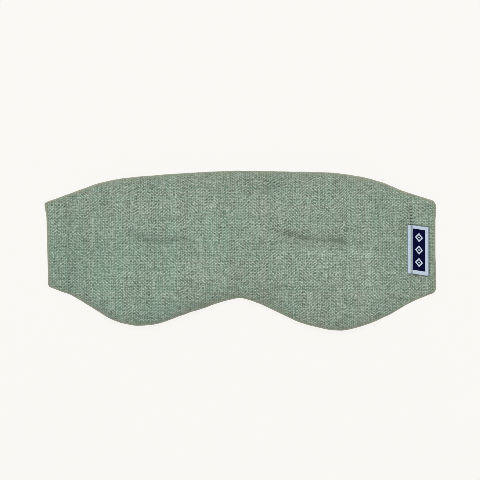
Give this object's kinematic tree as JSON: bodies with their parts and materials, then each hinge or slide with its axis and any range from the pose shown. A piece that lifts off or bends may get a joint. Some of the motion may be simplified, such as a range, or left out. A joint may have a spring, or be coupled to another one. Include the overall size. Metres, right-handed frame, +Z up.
{
  "type": "contoured eye pillow",
  "caption": "Contoured soft eye pillow with a nose notch between rounded lobes, a linen cover over an inner bag of seeds, flat topstitched end flanges and a small folded label.",
  "frame": {"origin": "on the resting plane, under the middle of the pillow's outline", "axes": "+X along the length towards the labelled end, +Y towards the brow edge, +Z up out of the front panel"},
  "size_m": [0.235, 0.096, 0.018],
  "materials": {
    "front_linen": "heathered sage green plain-weave linen",
    "back_linen": "warm taupe plain-weave linen",
    "bag_cotton": "unbleached calico",
    "seed_fill": "loose brown seeds, slightly glossy",
    "sewing_thread": "matte spun thread",
    "label_tape": "fine woven label tape with a satin sheen"
  },
  "bodies": {
    "bridge": {"front_panel_bridge": "front_linen", "back_panel_bridge": "back_linen", "bag_front_bridge": "bag_cotton", "bag_back_bridge": "bag_cotton", "bag_seam_bridge": "sewing_thread", "seed_fill_bridge": "seed_fill", "edge_seam_bridge": "sewing_thread"},
    "left_wing": {"front_panel_left": "front_linen", "back_panel_left": "back_linen", "bag_front_left": "bag_cotton", "bag_back_left": "bag_cotton", "bag_seam_left": "sewing_thread", "seed_fill_left": "seed_fill", "edge_seam_left": "sewing_thread"},
    "right_wing": {"front_panel_right": "front_linen", "back_panel_right": "back_linen", "bag_front_right": "bag_cotton", "bag_back_right": "bag_cotton", "bag_seam_right": "sewing_thread", "seed_fill_right": "seed_fill", "edge_seam_right": "sewing_thread"},
    "left_end": {"front_panel_left_end": "front_linen", "back_panel_left_end": "back_linen", "edge_seam_left_end": "sewing_thread", "topstitch_left": "sewing_thread"},
    "right_end": {"front_panel_right_end": "front_linen", "back_panel_right_end": "back_linen", "edge_seam_right_end": "sewing_thread", "topstitch_right": "sewing_thread", "label_base": "label_tape"},
    "label_flap": {"label_flap": "label_tape"}
  },
  "joints": [
    {"name": "left_wing_fold", "type": "hinge", "parent": "bridge", "child": "left_wing", "pos_m": [-0.014, 0, 0.0136], "axis": [0, 1, 0], "range_deg": [0, 90]},
    {"name": "right_wing_fold", "type": "hinge", "parent": "bridge", "child": "right_wing", "pos_m": [0.014, 0, 0.0136], "axis": [0, -1, 0], "range_deg": [0, 90]},
    {"name": "left_end_flex", "type": "hinge", "parent": "left_wing", "child": "left_end", "pos_m": [-0.1012, 0, 0.00145], "axis": [0, 1, 0], "range_deg": [0, 45]},
    {"name": "right_end_flex", "type": "hinge", "parent": "right_wing", "child": "right_end", "pos_m": [0.0992, 0, 0.00145], "axis": [0, -1, 0], "range_deg": [0, 45]},
    {"name": "label_lift", "type": "hinge", "parent": "right_end", "child": "label_flap", "pos_m": [0.1034, 0, 0.00345], "axis": [0, -1, 0], "range_deg": [0, 110]}
  ]
}
